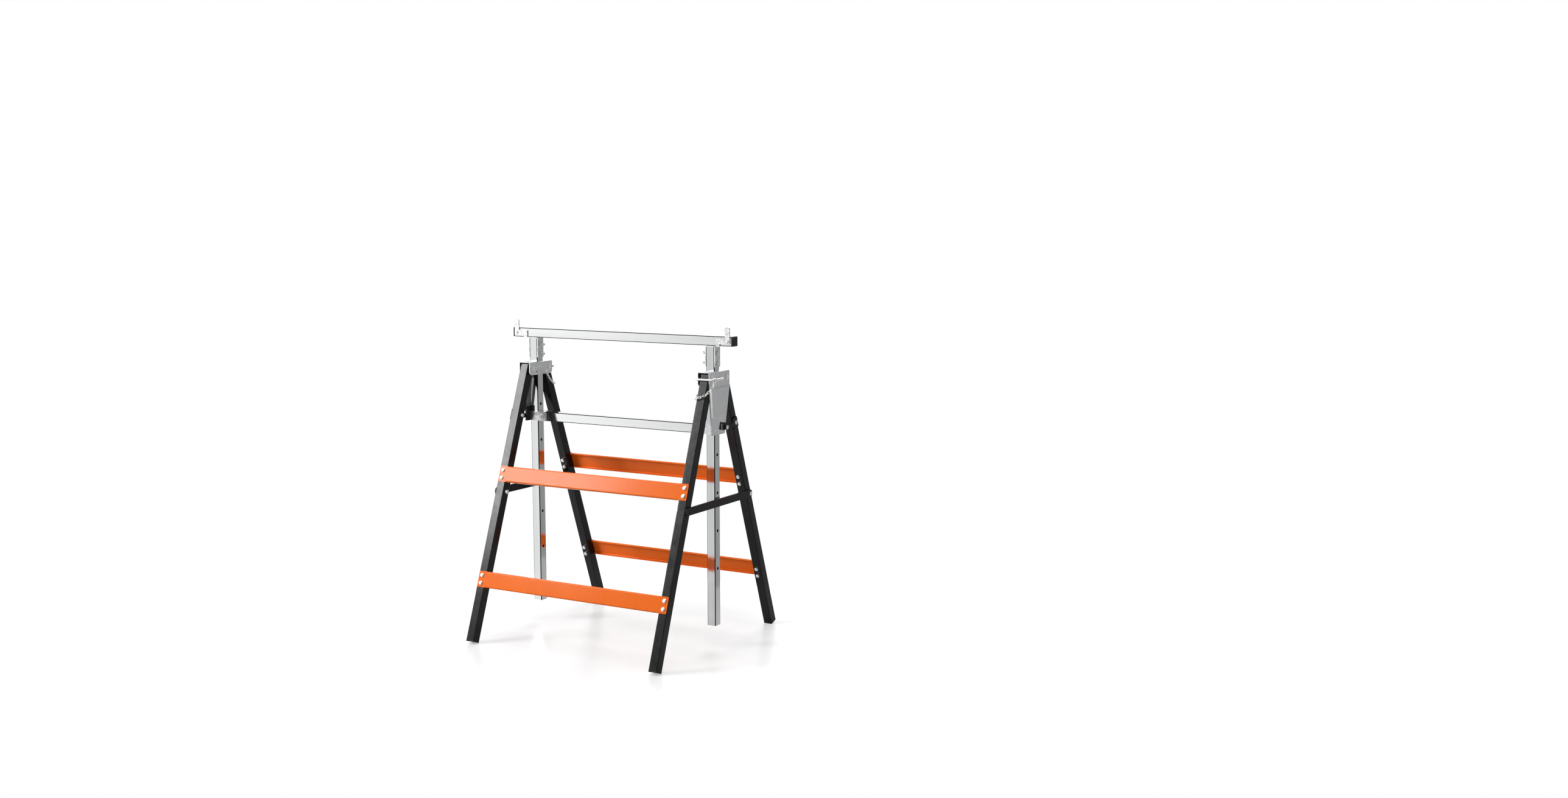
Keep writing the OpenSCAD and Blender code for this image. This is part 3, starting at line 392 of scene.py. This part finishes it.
def threaded_zinc(name, pitch, inside):
    """Bright zinc with a screw thread where a bolt lies closer to the middle than inside."""
    t = Tree(name)
    out = t.sums("ABSOLUTE", t.axes()["X"])
    wave = t.sums("SINE", t.sums("MULTIPLY", out, 2 * math.pi / pitch))
    thread = t.sums("MULTIPLY", wave, t.sums("LESS_THAN", out, inside))
    tint = t.blend(t.noise(ZINC_CLOUD_SCALE), *THREAD_TINTS)
    rough = t.spread(t.noise(ZINC_MARKS_SCALE), *THREAD_ROUGH)
    return t.finish(tint, rough, t.bump(thread, *THREAD_BUMP), metallic=1.0)


MOULD_GRAIN_SCALE, MOULD_GRAIN_BUMP = 1500, (0.25, 0.08 * MM)
MOULD_CLOUD_SCALE = 40
MOULD_TINTS = (0.005, 0.005, 0.006), (0.011, 0.011, 0.012)
MOULD_ROUGH = (0.42, 0.60)
MOULD_SHINE = 0.26


def moulded_plastic(name):
    """Black moulded plastic with a fine spark-eroded texture."""
    t = Tree(name)
    grain = t.noise(MOULD_GRAIN_SCALE, detail=3)
    tint = t.blend(t.noise(MOULD_CLOUD_SCALE, detail=3), *MOULD_TINTS)
    rough = t.spread(grain, *MOULD_ROUGH)
    normal = t.bump(grain, *MOULD_GRAIN_BUMP)
    return t.finish(tint, rough, normal, specular_ior_level=MOULD_SHINE)


BLACK_TINTS = (0.004, 0.004, 0.0045), (0.008, 0.008, 0.0085)
BLACK_ROUGH, BLACK_SHINE = (0.17, 0.25), 0.25
ORANGE_TINTS = (0.86, 0.148, 0.009), (0.91, 0.164, 0.011)
ORANGE_ROUGH, ORANGE_SHINE = (0.13, 0.18), 0.15
# One tube plating in two tints: the level copy painted lighter, the upright copy painted darker
# as shade
LEVEL_TUBE_LIT_TINTS = (0.84, 0.85, 0.86), (0.98, 0.98, 0.98)
UPRIGHT_TUBE_SHADE_TINTS = (0.66, 0.67, 0.68), (0.84, 0.85, 0.85)

BLACK = powder_coat("black_paint", *BLACK_TINTS, *BLACK_ROUGH, BLACK_SHINE)
ORANGE = powder_coat("orange_paint", *ORANGE_TINTS, *ORANGE_ROUGH, ORANGE_SHINE)
TUBE_X = plated_tube("bright_tube_x", "X", *LEVEL_TUBE_LIT_TINTS)
TUBE_Z_SHADED = plated_tube("bright_tube_z_shaded", "Z", *UPRIGHT_TUBE_SHADE_TINTS)
GREY_ZINC = satin_zinc("grey_zinc")
SPANGLE = spangled_zinc("galvanised_sheet")
BRIGHT = bright_zinc("bright_zinc")
PLASTIC = moulded_plastic("black_plastic")
THREADED = threaded_zinc("bright_zinc_thread", THREAD_PITCH, SADDLE_INNER_X)

FINISH = {
    "black_paint": BLACK,
    "orange_paint": ORANGE,
    "grey_zinc": GREY_ZINC,
    "galvanised_sheet": SPANGLE,
    "bright_zinc": BRIGHT,
    "black_plastic": PLASTIC,
}


def dress_nodes():
    for name, obj in NODES.items():
        slot = SLOT_OF[name]
        if slot == "bright_tube":
            finish = TUBE_Z_SHADED if name.endswith("_tube") else TUBE_X
        else:
            finish = THREADED if name == "saddle_bolts" else FINISH[slot]
        obj.data.materials.clear()
        obj.data.materials.append(finish)


dress_nodes()


# Rounded sheet edges and bolt heads

EDGE_R, EDGE_SEGMENTS = 0.35 * MM, 2
EDGE_ANGLE = math.radians(40)
HEAD_R, HEAD_SEGMENTS = 1.0 * MM, 3
HEAD_ANGLE = math.radians(25)
SHEET_NODES = (
    "left_head", "right_head", "left_saddle", "right_saddle", "left_stop", "right_stop",
    "left_guide", "right_guide", "guide_rear_straps", "front_leg_bracket", "rear_leg_bracket",
    "left_stay", "right_stay",
)
HEAD_NODES = (
    "saddle_bolts", "stop_rivets", "guide_bolts", "guide_rivets", "leg_pivot_rivets",
    "front_brace_bolts", "rear_brace_bolts", "front_bracket_bolts", "rear_bracket_bolts",
    "front_stay_bolt", "rear_stay_bolt",
)


def round_edges(names, radius, segments, angle):
    for name in names:
        bevel = NODES[name].modifiers.new("edges", "BEVEL")
        bevel.width = radius
        bevel.segments = segments
        bevel.limit_method = "ANGLE"
        bevel.angle_limit = angle


round_edges(SHEET_NODES, EDGE_R, EDGE_SEGMENTS, EDGE_ANGLE)
round_edges(HEAD_NODES, HEAD_R, HEAD_SEGMENTS, HEAD_ANGLE)


# Weld beads between the saddles and the top bar

WELD_R = 1.5 * MM
WELD_STEP = 0.4 * MM
WELD_RIPPLE = 2.2 * MM
WELD_RIPPLE_SHARE = 0.18
WELD_SIDES = 10
WELD_END_SHARE = 0.12
WELD_TIP_SHARE = 0.35
WELD_INSET_SHARE = 0.1


def weld_bead(name, x, y_from, y_to, z):
    """A rippled bead along Y, drawn in at both ends."""
    bm = bmesh.new()
    count = round((y_to - y_from) / WELD_STEP)
    turns = [2 * math.pi * k / WELD_SIDES for k in range(WELD_SIDES)]
    rings = []
    for i in range(count + 1):
        share = i / count
        y = y_from + (y_to - y_from) * share
        ripple = abs(math.sin(math.pi * (y - y_from) / WELD_RIPPLE))
        r = WELD_R * (1 - WELD_RIPPLE_SHARE * ripple)
        grown = min(share, 1 - share) / WELD_END_SHARE
        r *= min(1.0, WELD_TIP_SHARE + (1 - WELD_TIP_SHARE) * grown)
        rings.append([bm.verts.new((x + r * math.cos(a), y, z + r * math.sin(a))) for a in turns])
    for first, second in zip(rings, rings[1:]):
        for k in range(WELD_SIDES):
            j = (k + 1) % WELD_SIDES
            bm.faces.new((first[k], second[k], second[j], first[j]))
    bm.faces.new(rings[0])
    bm.faces.new(list(reversed(rings[-1])))
    bmesh.ops.recalc_face_normals(bm, faces=bm.faces)
    mesh = bpy.data.meshes.new(name)
    bm.to_mesh(mesh)
    bm.free()
    mesh.shade_smooth()
    mesh.materials.append(SPANGLE)
    bead = bpy.data.objects.new(name, mesh)
    bpy.context.scene.collection.objects.link(bead)
    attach(bead, "upper_frame")


def weld_saddles():
    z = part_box("top_bar")[0].z - WELD_R / 2
    for side in SIDES:
        low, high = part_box(f"{side}_saddle")
        inset = (high.y - low.y) * WELD_INSET_SHARE
        for edge, x in (("a", low.x + WELD_R), ("b", high.x - WELD_R)):
            weld_bead(f"{side}_saddle_weld_{edge}", x, low.y + inset, high.y - inset, z)


weld_saddles()


# Chains, copied from the imported ones


def hang_chain(side):
    """A copy of the pin chain's mesh takes the place of the imported one."""
    node = f"{side}_pin_chain"
    chain = bpy.data.objects.new(f"{side}_chain", NODES[node].data.copy())
    bpy.context.scene.collection.objects.link(chain)
    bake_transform(chain)
    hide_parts(node)


for side in SIDES:
    hang_chain(side)


# Studio


def make_floor():
    half = FLOOR_SIZE / 2
    corners = [(-half, -half, 0), (half, -half, 0), (half, half, 0), (-half, half, 0)]
    mesh = bpy.data.meshes.new("floor")
    mesh.from_pydata(corners, [], [(0, 1, 2, 3)])
    floor = bpy.data.objects.new("floor", mesh)
    floor.location.z = CAD_BOX[0].z - FLOOR_DROP
    bpy.context.scene.collection.objects.link(floor)
    t = Tree("floor")
    t.shader.inputs["Roughness"].default_value = FLOOR_ROUGH
    t.shader.inputs["Specular IOR Level"].default_value = FLOOR_GLOSS
    t.shader.inputs["Base Color"].default_value = (FLOOR_GREY, FLOOR_GREY, FLOOR_GREY, 1)
    path = t.add("ShaderNodeLightPath")
    glow = t.add("ShaderNodeEmission")
    out = t.add("ShaderNodeVectorMath", operation="LENGTH")
    t.join(t.coords(), out.inputs[0])
    lift = t.spread(out.outputs["Value"], FLOOR_LIFT, EDGE_LIFT, LIFT_FROM, LIFT_TO)
    seen = t.sums("MULTIPLY", path.outputs["Is Camera Ray"], lift)
    mirrored = t.sums("MULTIPLY", path.outputs["Is Glossy Ray"], FLOOR_SHEEN)
    t.join(t.sums("MAXIMUM", seen, mirrored), glow.inputs["Strength"])
    both = t.add("ShaderNodeAddShader")
    t.join(t.shader.outputs["BSDF"], both.inputs[0])
    t.join(glow.outputs["Emission"], both.inputs[1])
    t.join(both.outputs["Shader"], t.output.inputs["Surface"])
    mesh.materials.append(t.material)


def make_world():
    """White to the camera; in reflections and as light it dims to the right and overhead."""
    world = bpy.data.worlds.new("studio")
    world.use_nodes = True
    bpy.context.scene.world = world
    t = Nodes(world.node_tree)
    path = t.add("ShaderNodeLightPath")
    facing = t.add("ShaderNodeVectorMath", operation="DOT_PRODUCT")
    facing.inputs[1].default_value = (math.cos(DIM_SIDE), math.sin(DIM_SIDE), 0)
    t.join(t.coords("Generated"), facing.inputs[0])
    side = t.spread(facing.outputs["Value"], 1.0, SIDE_DIM, SIDE_FROM, SIDE_TO,
                    interpolation_type="SMOOTHSTEP")
    above = t.spread(t.axes("Generated")["Z"], 1.0, ABOVE_DIM, ABOVE_FROM, ABOVE_TO,
                     interpolation_type="SMOOTHSTEP")
    glossy = t.spread(path.outputs["Is Glossy Ray"], WORLD_LIGHT, 1.0, 0.0, 1.0)
    light = t.sums("MULTIPLY", t.sums("MULTIPLY", side, above), glossy)
    seen = t.sums("MAXIMUM", path.outputs["Is Camera Ray"], path.outputs["Is Transmission Ray"])
    back = t.nodes["Background"]
    back.inputs["Color"].default_value = (1, 1, 1, 1)
    t.join(t.sums("MAXIMUM", seen, light), back.inputs["Strength"])


def add_lamp(name, at, size, power):
    data = bpy.data.lights.new(name, "AREA")
    data.shape = "SQUARE"
    data.size = size
    data.energy = power
    lamp = bpy.data.objects.new(name, data)
    lamp.location = at
    lamp.rotation_mode = "QUATERNION"
    lamp.rotation_quaternion = (Vector(AIM) - Vector(at)).to_track_quat("-Z", "Y")
    bpy.context.scene.collection.objects.link(lamp)


make_floor()
make_world()
add_lamp("key", KEY_AT, KEY_SIZE, KEY_POWER)
add_lamp("top", TOP_AT, TOP_SIZE, TOP_POWER)
add_lamp("right", RIGHT_AT, RIGHT_SIZE, RIGHT_POWER)
add_lamp("back", BACK_AT, BACK_SIZE, BACK_POWER)
